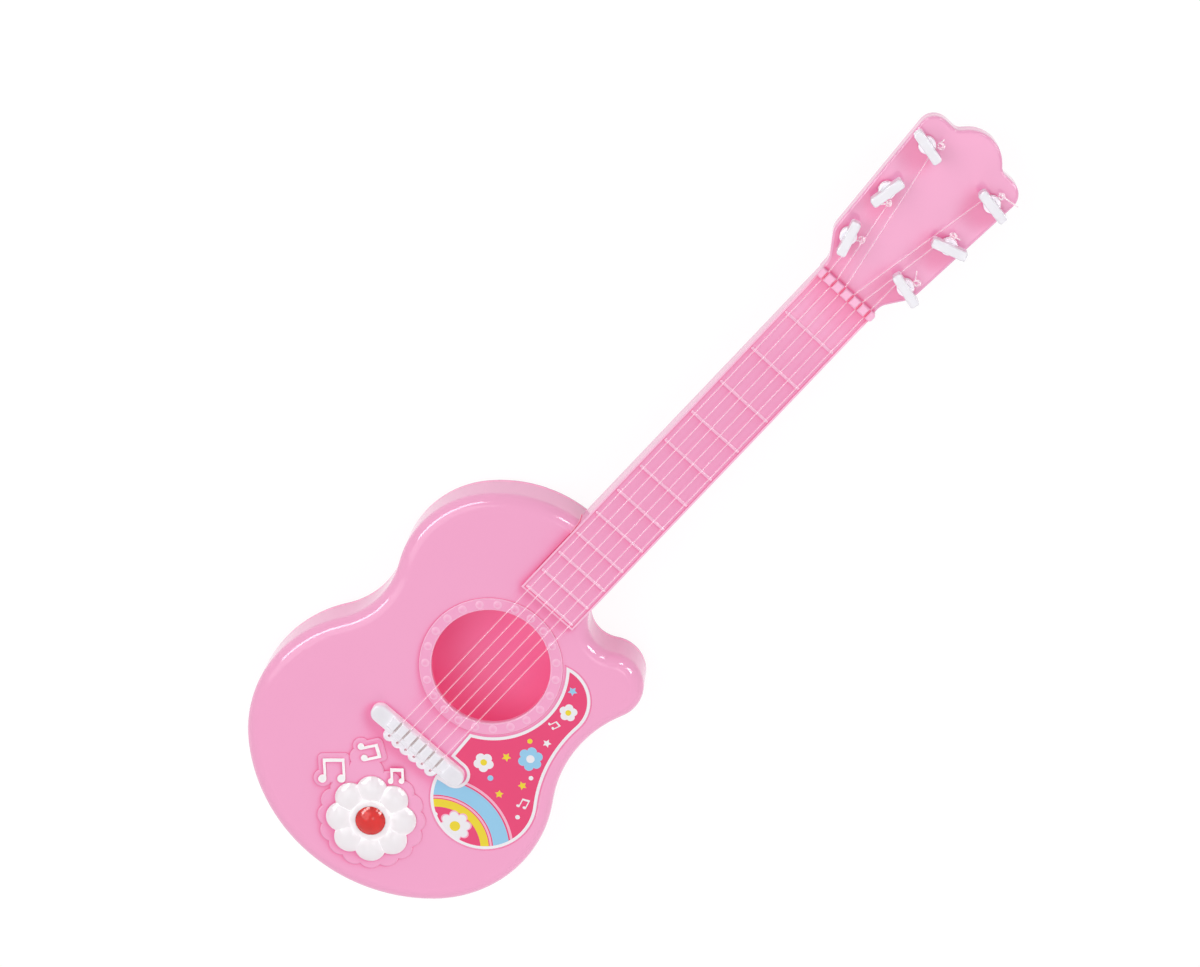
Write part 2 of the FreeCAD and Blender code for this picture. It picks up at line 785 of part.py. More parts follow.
def make_neck():
    """Front and back halves of the neck and headstock."""
    tongue = box(
        Vector(-neck_half_width, fingerboard_end, face_z),
        Vector(neck_half_width, heel_start + neck_wall, fingerboard_z),
    )
    outer = fused([neck_block(0), tongue, border(), nut_pieces()] + [fret(y) for y in fret_places()])
    shell = outer.cut(neck_block(-neck_wall))
    inside = []
    for x, y in neck_screw_places:
        low = neck_bottom(y) + neck_wall / 2
        high = (fingerboard_z if y < nut_y else head_face_z) - neck_wall / 2
        inside.append(cylinder(x, y, low, neck_boss_radius, high - low))
    for place in peg_places():
        low, high = head_back_z + neck_wall / 2, head_face_z - neck_wall / 2
        inside.append(cylinder(place.x, place.y, low, post_boss_radius, high - low))
    heel_floor = fingerboard_z - heel_depth
    for side in (-1, 1):
        low, height = heel_floor + neck_wall / 2, joint_screw_reach + neck_wall
        inside.append(cylinder(side * joint_screw_x, joint_screw_y, low, joint_boss_radius, height))
    shell = fused([shell] + inside)
    cuts = []
    for x, y in neck_screw_places:
        low = neck_bottom(y)
        seat = neck_screw_head_recess + neck_screw_head_height
        cuts.append(cylinder(x, y, low, neck_screw_head_radius + screw_clearance, seat))
        cuts.append(cylinder(x, y, low, neck_screw_radius + screw_clearance, neck_seam_z - low))
        pilot = neck_screw_radius + thread_clearance
        cuts.append(cylinder(x, y, neck_seam_z, pilot, neck_screw_reach + screw_clearance))
    for place in peg_places():
        bore = post_radius + post_clearance
        cuts.append(cylinder(place.x, place.y, head_back_z, bore, head_depth))
    for side in (-1, 1):
        pilot = joint_screw_radius + thread_clearance
        reach = joint_screw_reach + screw_clearance
        cuts.append(cylinder(side * joint_screw_x, joint_screw_y, heel_floor, pilot, reach))
    shell = shell.cut(Part.makeCompound(cuts))
    front = shell.common(slab(neck_seam_z, fingerboard_z * 2))
    back = shell.common(slab(0, neck_seam_z))
    return front, back


# ---- Tuning pegs ----
def make_peg(place, wing_angle):
    """Peg with its post, spool, flange and wing; the string winds between collar and flange."""
    x, y = place.x, place.y
    post = cylinder(x, y, post_end_z, post_radius, wing_z - post_end_z)
    collar = cylinder(x, y, collar_z, flange_radius, collar_thickness)
    flange = cylinder(x, y, spool_top_z, flange_radius, flange_thickness)
    half = Vector(wing_length / 2, wing_thickness / 2, 0)
    wing = box(-half, half + Vector(0, 0, wing_height))
    upright = [e for e in wing.Edges if e.BoundBox.ZLength > wing_height / 2]
    wing = wing.makeFillet(wing_corner_radius, upright)
    wing = wing.makeFillet(wing_edge_fillet, level_edges(wing, wing_height))
    peg = fused([post, collar, flange, placed(wing, x, y, wing_z, wing_angle)])
    pilot = peg_screw_radius + thread_clearance
    return peg.cut(cylinder(x, y, post_end_z, pilot, peg_screw_reach + screw_clearance))


def make_winding(place):
    """The string's turns round the post, as one ring."""
    low = winding_z - winding_height / 2
    ring = cylinder(place.x, place.y, low, winding_radius, winding_height)
    return ring.cut(cylinder(place.x, place.y, low, post_radius + winding_fit, winding_height))


def make_peg_screw(place):
    """Screw with a washer under its head, tight on the end of the post."""
    head_height = body_screw_head_height
    washer = cylinder(place.x, place.y, post_end_z - washer_thickness, washer_radius, washer_thickness)
    fastener = screw(
        place.x,
        place.y,
        post_end_z - washer_thickness - head_height,
        peg_screw_radius,
        washer_radius * 2 / 3,
        head_height,
        washer_thickness + peg_screw_reach,
    )
    return fused([washer, fastener])


# ---- Strings ----
def wrap_point(nut_point, peg):
    """Where a string from the nut touches its winding, on the side of the guitar's middle."""
    radius = winding_radius + string_radius + string_wrap_gap
    span = Vector(nut_point.x - peg.x, nut_point.y - peg.y, 0)
    opening = acos(radius / span.Length)
    side = 1 if peg.x < 0 else -1
    return peg + turned(atan2(span.y, span.x) + side * opening, radius) + Vector(0, 0, winding_z)


def make_string(x, peg):
    """String from its knot up through the bridge, over saddle and nut, to its peg."""
    nut_point = Vector(x, nut_back_y + string_rest_gap, nut_string_z)
    points = [
        Vector(x, string_hole_y, face_under_z - string_rest_gap),
        Vector(x, string_hole_y, saddle_string_z + string_rest_gap),
        nut_point,
        wrap_point(nut_point, peg),
    ]
    path = Part.Wire(rounded_path(points, [0, string_bend_radius, nut_bend_radius, 0]))
    section = Part.Wire(Part.makeCircle(string_radius, points[0], Vector(0, 0, 1)))
    return path.makePipeShell([section], True, False)


def make_knot(x):
    """Knot just below the end of a string, under the top."""
    z = face_under_z - 2 * string_rest_gap - knot_radius
    return Part.makeSphere(knot_radius, Vector(x, string_hole_y, z))


# ---- Bridge ----
def make_bridge():
    """Bar with rounded ends, saddle blocks between the strings and a scalloped tail."""
    centre_x = bridge_half_length - bridge_half_width
    front_y = bridge_y + bridge_half_width
    back_y = bridge_y - bridge_half_width
    ends = [
        cylinder(side * centre_x, bridge_y, face_z, bridge_half_width, bridge_height)
        for side in (-1, 1)
    ]
    middle = box(Vector(-centre_x, back_y, face_z), Vector(centre_x, front_y, bridge_z))
    bar = fused([middle] + ends)
    bar = bar.makeFillet(bridge_fillet, level_edges(bar, bridge_z))
    tail = fused([cylinder(x, tail_y, face_z, tail_radius, tail_height) for x in string_xs])
    tail = tail.makeChamfer(tail_fillet, level_edges(tail, face_z + tail_height))
    half_width = (string_count + 1) * string_pitch / 2 - slot_width / 2
    low_z = bridge_z - saddle_height
    blocks = string_blocks(
        back_y + saddle_back + bridge_fillet,
        front_y - saddle_front,
        low_z,
        bridge_z + saddle_height - low_z,
        half_width,
    )
    bridge = fused([bar, tail] + blocks)
    cuts = [cylinder(x, string_hole_y, face_z, tail_hole_radius, bridge_height) for x in string_xs]
    for side in (-1, 1):
        pilot = bridge_screw_radius + thread_clearance
        reach = bridge_screw_reach + screw_clearance
        cuts.append(cylinder(side * bridge_screw_x, bridge_y, face_z, pilot, reach))
    return bridge.cut(Part.makeCompound(cuts))


# ---- Flower and notes ----
def make_flower():
    """Relief flower with domed petals, a flat seat for its centre and pins through the face."""
    petals = []
    for i in range(petal_count):
        place = flower_place(i / petal_count, petal_ring_radius)
        petals.append(cylinder(place.x, place.y, plateau_z, petal_radius, petal_base))
        petals.append(dome(place.x, place.y, plateau_z + petal_base, petal_radius, petal_dome))
    core = cylinder(flower_x, flower_y, plateau_z, core_radius, core_height)
    low = face_under_z - pin_reach
    pins = [
        cylinder(place.x, place.y, low, pin_radius, plateau_z + petal_base / 2 - low)
        for place in pin_places()
    ]
    seat_z = plateau_z + core_height - centre_seat_depth
    seat = cylinder(flower_x, flower_y, seat_z, centre_radius + centre_clearance, petal_dome * 2)
    return fused(petals + [core] + pins).cut(seat)


def make_flower_centre():
    z = plateau_z + core_height - centre_seat_depth
    base = cylinder(flower_x, flower_y, z, centre_radius, centre_seat_depth)
    return fused([base, dome(flower_x, flower_y, z + centre_seat_depth, centre_radius, centre_dome)])


def make_note(x, y, tilt, width, stem, head_radius):
    """Two note heads with stems under one beam, centred on x and y and tilted."""
    low, high = -stem / 2, stem / 2
    pieces = [box(Vector(-width / 2, high - note_beam, 0), Vector(width / 2, high, note_height))]
    for head_x in note_head_places(width, head_radius):
        right = head_x + head_radius
        pieces.append(box(Vector(right - note_line, low, 0), Vector(right, high, note_height)))
        pieces.append(cylinder(head_x, low, 0, head_radius, note_height))
    return placed(fused(pieces), x, y, plateau_z, tilt)


# ---- Screws ----
def make_screws():
    """Every group of screws, by node name."""
    body = [
        screw(
            x,
            y,
            body_screw_head_recess,
            body_screw_radius,
            body_screw_head_radius,
            body_screw_head_height,
            body_boss_start - body_screw_head_recess - body_screw_head_height + body_screw_reach,
        )
        for x, y in body_screw_places()
    ]
    neck = []
    for x, y in neck_screw_places:
        head_z = neck_bottom(y) + neck_screw_head_recess
        shank = neck_seam_z + neck_screw_reach - head_z - neck_screw_head_height
        neck.append(
            screw(x, y, head_z, neck_screw_radius, neck_screw_head_radius, neck_screw_head_height, shank)
        )
    floor_z = fingerboard_z - heel_depth - pocket_clearance - body_wall
    joint_length = body_wall + pocket_clearance + joint_screw_reach
    joint = [
        screw(
            side * joint_screw_x,
            joint_screw_y,
            floor_z - joint_screw_head_height,
            joint_screw_radius,
            joint_screw_head_radius,
            joint_screw_head_height,
            joint_length,
        )
        for side in (-1, 1)
    ]
    bridge = [
        screw(
            side * bridge_screw_x,
            bridge_y,
            face_under_z - bridge_screw_head_height,
            bridge_screw_radius,
            bridge_screw_head_radius,
            bridge_screw_head_height,
            body_wall + bridge_screw_reach,
        )
        for side in (-1, 1)
    ]
    return {
        "body_screws": body,
        "neck_screws": neck,
        "neck_joint_screws": joint,
        "bridge_screws": bridge,
    }


# ---- Write every node ----
os.makedirs("parts", exist_ok=True)
save("body_front", make_body_front())
save("body_back", make_body_back())
neck_front, neck_back = make_neck()
save("neck_front", neck_front)
save("neck_back", neck_back)
save("bridge", make_bridge())
save("emblem_flower", make_flower())
save("emblem_centre", make_flower_centre())
save("music_notes", [make_note(*note) for note in notes])
save("pickguard_sticker", sticker_plate(face_z - sticker_recess, sticker_thickness, 0))
save("string_knots", [make_knot(x) for x in string_xs])
for node, screws in make_screws().items():
    save(node, screws)
for number, (string_x, peg, angle) in enumerate(zip(string_xs, peg_places(), peg_wing_angles), 1):
    save(f"string_{number}", make_string(string_x, peg))
    save(f"peg_{number}", make_peg(peg, angle))
    save(f"winding_{number}", make_winding(peg))
    save(f"peg_screw_{number}", make_peg_screw(peg))
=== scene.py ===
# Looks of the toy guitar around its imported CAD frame. Metres; the guitar lies on its back, with X
# across the strings to the cutaway side, Y along the neck to the headstock and Z out of the face.
from math import cos, pi, radians, sin, tau

import bpy
from mathutils import Matrix, Vector
from mathutils.geometry import delaunay_2d_cdt


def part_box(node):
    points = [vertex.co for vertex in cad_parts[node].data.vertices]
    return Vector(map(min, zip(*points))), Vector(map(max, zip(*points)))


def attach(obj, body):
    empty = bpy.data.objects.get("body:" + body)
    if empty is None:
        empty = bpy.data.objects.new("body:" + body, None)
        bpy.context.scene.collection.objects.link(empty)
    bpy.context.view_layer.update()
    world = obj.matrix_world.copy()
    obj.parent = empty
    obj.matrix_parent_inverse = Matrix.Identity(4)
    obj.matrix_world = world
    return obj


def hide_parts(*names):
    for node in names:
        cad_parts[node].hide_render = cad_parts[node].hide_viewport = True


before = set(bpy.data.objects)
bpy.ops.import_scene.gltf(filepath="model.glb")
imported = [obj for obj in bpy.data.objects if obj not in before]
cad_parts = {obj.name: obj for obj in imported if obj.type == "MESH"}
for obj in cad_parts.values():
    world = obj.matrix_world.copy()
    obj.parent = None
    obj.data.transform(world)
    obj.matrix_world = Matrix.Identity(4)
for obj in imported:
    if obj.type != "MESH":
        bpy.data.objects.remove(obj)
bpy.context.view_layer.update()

MM = 0.001

# ---- Camera, lights and floor ----
CAMERA_PLACE = (-0.2231372, 0.4736190, 1.4362612)
CAMERA_RIGHT = (0.74417072, 0.66458632, -0.06734053)
CAMERA_UP = (-0.6538662, 0.70410469, -0.27693273)
CAMERA_LENS = 90.0  # millimetres, like the sensor
SENSOR_WIDTH = 36.0
CLIP_START = 0.01
AIM = Vector((0.0, 0.06, 0.03))  # what the lamps point at
# azimuth from +X and elevation in degrees, distance, width and height in metres, watts
LAMPS = {
    "top_softbox": (-162.0, 55.0, 1.8, 1.4, 1.4, 9.0),
    "low_softbox": (-50.0, 40.0, 1.0, 0.6, 0.6, 1.6),
    "side_softbox": (178.0, 22.0, 1.5, 1.4, 0.7, 3.4),
    "key_softbox": (75.0, 36.0, 2.2, 0.8, 0.5, 5.5),
    "right_softbox": (15.0, 14.0, 1.5, 1.2, 0.8, 4.0),
    "head_softbox": (88.0, 50.0, 0.9, 0.5, 0.5, 0.35),
}
GLINTS = {  # lamps that show only in the gloss
    "side_glint": (178.0, 36.0, 1.5, 1.4, 0.36, 16.0),
    "head_glint": (16.0, 81.0, 1.62, 0.34, 0.34, 0.7),
    "key_glint": (68.0, 36.0, 2.2, 0.62, 0.6, 18.0),
    "strip_glint": (96.0, 37.0, 2.2, 0.27, 0.5, 6.5),
}
GLOSSY_LAMPS = {"top_softbox"} | set(GLINTS)
LAMP_COLOUR = (0.97, 1.0, 0.99)
WORLD_STRENGTH = 0.545
WORLD_COLOUR = (1.0, 0.91, 0.955, 1.0)  # light that the pink toy and its set throw back
WHITE = (1.0, 1.0, 1.0, 1.0)
FLOOR_SIZE = 8.0
FLOOR_COLOUR = (0.86, 0.86, 0.86, 1.0)
FLOOR_GLOW = 1.06  # what the camera sees of the bare floor, as a share of white
FLOOR_GLOW_SHARE = 0.85  # the rest shows the object's shadow
FLOOR_DROP = 0.0005

# ---- Colours of the moulded pieces, in shares of 255 ----
PINK, PINK_DEEPER = (243, 167, 204), (241, 163, 201)
# painted shade: a deeper pink for narrow gaps and for painted shadows under things on the lamps'
# side
PINK_PAINTED_SHADE = (236, 62, 138)
# painted highlight: a paler pink on thin sloping ridges and edges
PINK_PAINTED_HIGHLIGHT = (252, 200, 224)
# painted highlight on the lips and beads of the ring round the sound hole
RING_PAINTED_HIGHLIGHT = (252, 208, 229)
# painted highlight on the frets, the fingerboard's border and the nut
BOARD_PAINTED_HIGHLIGHT = (250, 200, 225)
# painted shade: the hollow is painted a deeper pink, with random paler patches of painted light
INSIDE, INSIDE_PAINTED_LIGHT = (248, 114, 178), (252, 164, 206)
GLOW = (255, 78, 140)  # painted glow that stands in for light coming through the thin shell from outside
BOUNCE = (255, 192, 210)  # painted glow for the light that the pink face throws on the bridge's walls
SLIT = (172, 160, 156)  # painted shade between the saddle's blocks
WHITE_PLASTIC, WHITE_DEEPER = (231, 232, 236), (227, 228, 233)
WHITE_SPREAD = (0.003, 0.003, 0.003)
# painted glow that lightens the nylon
LINE_GLOW = (255, 228, 238)

# ---- Surface of the plastic ----
PATCH_SCALE = 14.0  # noises per metre
SMEAR_SCALE = 56.0
GRAIN_SCALE = 1400.0
CLOUD_SCALE = 22.0
GLINT_SCALE = 620.0
GLINT_SHARES = (0.4, 0.6)  # of the noise, where the line is clearest and thickest
UNEVEN_GLOSS = 0.15
GRAIN_STRENGTH = 0.01
GRAIN_HEIGHT = 0.0004
INSIDE_ROUGHER = 0.35
INSIDE_GLOW = 0.115
CREVICE_GLOW = 0.1
BOUNCE_GLOW = 0.22
LINE_GLOW_STRENGTH = 0.12
# how far a face looks round itself, and how open it is where a change starts and where it is full
CREVICE_REACH, CREVICE_OPENNESS = 0.004, (0.75, 0.25)
EDGE_REACH, EDGE_OPENNESS = 0.0009, (1.0, 0.5)
DIM_REACH, DIM_OPENNESS = 0.018, (0.69, 0.56)
SLIT_REACH, SLIT_OPENNESS = 0.0016, (0.42, 0.2)
LINE_REACH, LINE_OPENNESS = 0.0012, (0.55, 0.95)
EDGE_SHARE = 0.9
DIM_SHARE = 0.42
DIM_SIDE = (0.28, 0.76, 0.59)  # towards the key lamp
# upward part of a face's normal
LEVEL = 0.995
NEARLY_LEVEL = 0.97
RING_SLOPES = (LEVEL, 0.94)
WALL_SLOPES = (0.5, 0.0)
# places on the guitar, in metres, and how strongly they change
BOARD_RISE = (0.0355, 0.03565)  # frets, border and nut stand above the fingerboard here
BOARD_SHARE = 0.85
NUT_START = 0.2555
NUT_FAINTER = 0.6
RING_REACH = 0.0361
RING_LOW = 0.0338
RING_SHARE = 0.5
BOUNCE_HEIGHTS = (0.041, 0.0345)
HOLLOW_MIDDLE = 0.02
HOLLOW_TOP = 0.0315
HOLLOW_LEVEL = 0.5  # upward or downward part of the normal on the hollow's floor and ceiling
HOLLOW_INWARDS = -0.004  # plan place times plan normal, below which a wall faces inwards

# ---- Sticker print: plan in millimetres ----
PRINT_INSET = 1.6
PRINT_LOW = 33.88
PRINT_HIGH = 33.95
RAINBOW = (44, -92)
RAINBOW_ENDS = (15, 165)
RAINBOW_BANDS = [
    ("pale", 37.6, 38.9),
    ("blue", 28.6, 36.8),
    ("pale", 26.9, 28.0),
    ("yellow", 22.2, 26.4),
]
NOTE_STEMS = [
    (-0.5, -0.9),
    (-0.28, -0.9),
    (-0.28, 0.55),
    (0.78, 0.75),
    (0.78, -0.7),
    (1.0, -0.7),
    (1.0, 1.2),
    (-0.5, 0.9),
]
NOTE_HEADS = [(-0.62, -0.9), (0.66, -0.7)]
NOTE_HEAD_SIZE = (0.36, 0.27)
BLOSSOM_DEPTH = 0.256  # of the notches between petals, in the flower's own reach
BLOSSOM_ROUNDNESS = 0.7
BLOSSOM_STEPS = 120
STAR_WAIST = 0.5
BAND_STEPS = 60
LEVEL_GAP = 1e-6  # metres
SHARPEST_CORNER = 0.35  # cosine that limits how far a corner moves inwards
INSET_KEPT = 0.97  # share of the inset that a moved point has to keep

# ---- String ends on the pegs, in millimetres from the peg's axis ----
STRING_RADIUS = 0.35
DRAWN_RADIUS = STRING_RADIUS * 0.95
TURN_RADIUS = 2.92
WOUND_GAP = 0.02
WOUND_TURNS = 2.2
WOUND_STEPS = 60
WOUND_RISE = 0.615  # per turn
LOOSE_RADIUS = 4.1
LOOSE_DROP = 0.1
LOOSE_TURNS = 0.95
LOOSE_STEPS = 28
LOOSE_SPREAD = 1.5  # the loose turn widens this much faster than it rises
CURL_STEPS = 6
TIP_LIFT = 2.0
TIP_ARCH = 0.3
# per peg: azimuth of the crumpled end, its distance and size, azimuth and reach of its tip
STRING_ENDS = {
    1: (28.0, 6.0, 1.2, 8.0, 6.6),
    2: (-40.0, 5.6, 1.1, -72.0, 7.0),
    3: (40.0, 6.0, 1.3, 62.0, 8.2),
    4: (84.0, 5.6, 1.2, 38.0, 12.0),
    5: (112.0, 5.2, 1.3, 78.0, 6.2),
    6: (66.0, 5.6, 1.3, 100.0, 9.6),
}
# the crumpled end's path: outwards, sideways in its own size and upwards in millimetres
CRUMPLE = [
    (-0.3, -0.9, 0.4),
    (0.9, -0.5, 1.2),
    (0.6, 0.8, 1.9),
    (-0.7, 0.9, 1.5),
    (-0.5, -0.6, 2.3),
    (1.0, -1.0, 2.7),
    (1.5, 0.4, 2.0),
    (0.3, 1.3, 1.4),
]
TUBE_SIDES = 10
TUBE_CAP = [(0.35, 0.94), (0.7, 0.71), (0.93, 0.37)]  # run and radius of its rings, in tube radii


# ---- Nodes ----
def rgb(red, green, blue):
    """Linear colour with alpha from sRGB shares of 255."""
    shares = [value / 255 for value in (red, green, blue)]
    return [s / 12.92 if s <= 0.04045 else ((s + 0.055) / 1.055) ** 2.4 for s in shares] + [1.0]


def node(tree, kind, inputs=None, **settings):
    """New shader node; each input takes a value or another node's output."""
    made = tree.nodes.new(kind)
    for key, value in settings.items():
        setattr(made, key, value)
    for key, value in (inputs or {}).items():
        if isinstance(value, bpy.types.NodeSocket):
            tree.links.new(value, made.inputs[key])
        else:
            made.inputs[key].default_value = value
    return made


def maths(tree, operation, *values):
    """Output of a maths node over values or outputs."""
    return node(tree, "ShaderNodeMath", dict(enumerate(values)), operation=operation).outputs[0]


def ranged(tree, value, start, full, low=0.0, high=1.0):
    """low where a value is at start, moving to high where it reaches full."""
    limits = {"Value": value, "From Min": start, "From Max": full, "To Min": low, "To Max": high}
    return node(tree, "ShaderNodeMapRange", limits).outputs["Result"]


def blend_colours(tree, factor, first, second):
    """Output of a mix of two colours."""
    mix = tree.nodes.new("ShaderNodeMix")
    mix.data_type = "RGBA"
    tree.links.new(factor, mix.inputs[0])
    for place, value in ((6, first), (7, second)):
        if isinstance(value, bpy.types.NodeSocket):
            tree.links.new(value, mix.inputs[place])
        else:
            mix.inputs[place].default_value = value
    return mix.outputs[2]


def noise(tree, scale, detail):
    """Noise that stays with the piece."""
    place = node(tree, "ShaderNodeTexCoord").outputs["Object"]
    inputs = {"Vector": place, "Scale": scale, "Detail": detail}
    return node(tree, "ShaderNodeTexNoise", inputs).outputs["Fac"]


def parts_of(tree, kind):
    """X, Y and Z of the place (Object) or the normal (Normal) on the piece."""
    source = node(tree, "ShaderNodeTexCoord").outputs[kind]
    return node(tree, "ShaderNodeSeparateXYZ", {0: source}).outputs


def openness(tree, reach, inputs=None, samples=8, inside=False):
    """How free a face is of others within reach, from 0 to 1; inside looks into the piece."""
    inputs = {"Distance": reach} | (inputs or {})
    made = node(tree, "ShaderNodeAmbientOcclusion", inputs, samples=samples, inside=inside)
    return made.outputs["AO"]


# ---- Camera, lights and floor ----
def show(name, data):
    """New object with the given data, in the scene."""
    made = bpy.data.objects.new(name, data)
    bpy.context.scene.collection.objects.link(made)
    return made


def add_camera():
    camera = show("camera", bpy.data.cameras.new("camera"))
    camera.data.lens = CAMERA_LENS
    camera.data.sensor_width = SENSOR_WIDTH
    camera.data.clip_start = CLIP_START
    right, up = Vector(CAMERA_RIGHT), Vector(CAMERA_UP)
    axes = Matrix((right, up, right.cross(up))).transposed()
    camera.matrix_world = Matrix.Translation(CAMERA_PLACE) @ axes.to_4x4()
    bpy.context.scene.camera = camera


def add_lamps():
    for name, (azimuth, elevation, distance, width, height, power) in (LAMPS | GLINTS).items():
        lamp = bpy.data.lights.new(name, "AREA")
        lamp.shape = "RECTANGLE"
        lamp.size, lamp.size_y = width, height
        lamp.energy = power
        lamp.color = LAMP_COLOUR
        flat, rise = radians(azimuth), radians(elevation)
        direction = Vector((cos(flat) * cos(rise), sin(flat) * cos(rise), sin(rise)))
        turn = direction.to_track_quat("Z", "Y").to_matrix().to_4x4()
        shown = show(name, lamp)
        shown.matrix_world = Matrix.Translation(AIM + direction * distance) @ turn
        shown.visible_diffuse = name in LAMPS
        shown.visible_glossy = name in GLOSSY_LAMPS


def seen_rays(tree):
    """1 for rays of the camera, of reflections and through glass, 0 for the rest."""
    path = node(tree, "ShaderNodeLightPath").outputs
    pair = maths(tree, "MAXIMUM", path["Is Camera Ray"], path["Is Glossy Ray"])
    return maths(tree, "MAXIMUM", pair, path["Is Transmission Ray"])


def add_world():
    world = bpy.data.worlds.new("studio")
    world.use_nodes = True
    tree = world.node_tree
    seen = seen_rays(tree)
    background = tree.nodes["Background"]
    colour = blend_colours(tree, seen, WORLD_COLOUR, WHITE)
    tree.links.new(colour, background.inputs["Color"])
    strength = ranged(tree, seen, 0.0, 1.0, WORLD_STRENGTH)
    tree.links.new(strength, background.inputs["Strength"])
    bpy.context.scene.world = world


def add_floor():
    half = FLOOR_SIZE / 2
    mesh = bpy.data.meshes.new("floor")
    corners = [(-half, -half, 0), (half, -half, 0), (half, half, 0), (-half, half, 0)]
    mesh.from_pydata(corners, [], [(0, 1, 2, 3)])
    floor = show("floor", mesh)
    floor.location.z = -FLOOR_DROP
    material = bpy.data.materials.new("floor_white")
    material.use_nodes = True
    tree = material.node_tree
    tree.nodes.clear()
    paint = node(tree, "ShaderNodeBsdfDiffuse", {"Color": FLOOR_COLOUR})
    glow = node(tree, "ShaderNodeEmission", {"Strength": FLOOR_GLOW})
    share = maths(tree, "MULTIPLY", seen_rays(tree), FLOOR_GLOW_SHARE)
    mix = node(tree, "ShaderNodeMixShader", {0: share, 1: paint.outputs[0], 2: glow.outputs[0]})
    node(tree, "ShaderNodeOutputMaterial", {"Surface": mix.outputs[0]})
    mesh.materials.append(material)


# ---- Materials ----
def plastic(name, colour, deeper, roughness=0.1, spread=None, finish=None, **sockets):
    """Moulded plastic: faint patches of a deeper colour, uneven gloss and a fine grain.

    spread is how far red, green and blue travel in the plastic, in metres. finish takes the tree,
    the shader, the colour and the gloss, and returns the colour and the gloss."""
    material = bpy.data.materials.new(name)
    material.use_nodes = True
    tree = material.node_tree
    shader = tree.nodes["Principled BSDF"]
    tint = blend_colours(tree, noise(tree, PATCH_SCALE, 3.0), rgb(*colour), rgb(*deeper))
    low, high = roughness * (1 - UNEVEN_GLOSS), roughness * (1 + UNEVEN_GLOSS)
    gloss = ranged(tree, noise(tree, SMEAR_SCALE, 4.0), 0.0, 1.0, low, high)
    if finish:
        tint, gloss = finish(tree, shader, tint, gloss)
    tree.links.new(tint, shader.inputs["Base Color"])
    tree.links.new(gloss, shader.inputs["Roughness"])
    if spread:
        shader.subsurface_method = "BURLEY"
        shader.inputs["Subsurface Weight"].default_value = 1.0
        shader.inputs["Subsurface Scale"].default_value = 1.0
        shader.inputs["Subsurface Radius"].default_value = spread
    skin = noise(tree, GRAIN_SCALE, 2.0)
    relief = {"Height": skin, "Strength": GRAIN_STRENGTH, "Distance": GRAIN_HEIGHT}
    bump = node(tree, "ShaderNodeBump", relief)
    tree.links.new(bump.outputs["Normal"], shader.inputs["Normal"])
    for key, value in sockets.items():
        shader.inputs[key.replace("_", " ")].default_value = value
    return material


def light_up(tree, shader, colour, strength):
    """Let the surface give off a little light."""
    shader.inputs["Emission Color"].default_value = rgb(*colour)
    tree.links.new(strength, shader.inputs["Emission Strength"])


def shade_pink(tree, tint):
    """Paint a deeper shade in narrow gaps, shadows on dim places and paler highlights on thin
    ridges.

    Returns the colour and how much the gaps glow, as a painted glow."""
    depth = ranged(tree, openness(tree, CREVICE_REACH), *CREVICE_OPENNESS)
    glow = maths(tree, "MULTIPLY", maths(tree, "POWER", depth, 2.0), CREVICE_GLOW)
    tint = blend_colours(tree, depth, tint, rgb(*PINK_PAINTED_SHADE))
    tint = blend_colours(tree, painted_shadows(tree), tint, rgb(*PINK_PAINTED_SHADE))
    thin = openness(tree, EDGE_REACH, inside=True)
    ridge = ranged(tree, thin, *EDGE_OPENNESS, high=EDGE_SHARE)
    slope = maths(tree, "LESS_THAN", parts_of(tree, "Normal")["Z"], LEVEL)
    tint = blend_colours(tree, maths(tree, "MULTIPLY", ridge, slope), tint, rgb(*PINK_PAINTED_HIGHLIGHT))
    return tint, glow


def painted_shadows(tree):
    """Painted shadow, up to DIM_SHARE, on level faces with things close above on the lamps' side.
    """
    side = node(tree, "ShaderNodeCombineXYZ", dict(enumerate(DIM_SIDE))).outputs["Vector"]
    sky = openness(tree, DIM_REACH, {"Normal": side}, samples=24)
    dim = ranged(tree, sky, *DIM_OPENNESS, high=DIM_SHARE)
    level = maths(tree, "GREATER_THAN", parts_of(tree, "Normal")["Z"], NEARLY_LEVEL)
    return maths(tree, "MULTIPLY", dim, level)


def neck_finish(tree, shader, tint, gloss):
    tint = blend_colours(tree, board_highlights(tree), tint, rgb(*BOARD_PAINTED_HIGHLIGHT))
    tint, glow = shade_pink(tree, tint)
    light_up(tree, shader, GLOW, glow)
    return tint, gloss


def board_highlights(tree):
    """Painted highlight, up to BOARD_SHARE, on frets, border and a fainter nut above the
    fingerboard.
    """
    place = parts_of(tree, "Object")
    raised = ranged(tree, place["Z"], *BOARD_RISE, high=BOARD_SHARE)
    nut = maths(tree, "GREATER_THAN", place["Y"], NUT_START)
    return maths(tree, "MULTIPLY", raised, maths(tree, "MULTIPLY_ADD", nut, -NUT_FAINTER, 1.0))


def body_finish(tree, shader, tint, gloss):
    """Pink outside; the inside is rougher, painted deeper as shade, with painted light and a
    painted glow.
    """
    tint = blend_colours(tree, ring_highlights(tree), tint, rgb(*RING_PAINTED_HIGHLIGHT))
    tint, glow = shade_pink(tree, tint)
    hollow = hollow_faces(tree)
    painted_shade_and_light = blend_colours(tree, noise(tree, CLOUD_SCALE, 1.0), rgb(*INSIDE), rgb(*INSIDE_PAINTED_LIGHT))
    light_up(tree, shader, GLOW, maths(tree, "MULTIPLY_ADD", hollow, INSIDE_GLOW, glow))
    gloss = maths(tree, "MULTIPLY_ADD", hollow, INSIDE_ROUGHER, gloss)
    return blend_colours(tree, hollow, tint, painted_shade_and_light), gloss


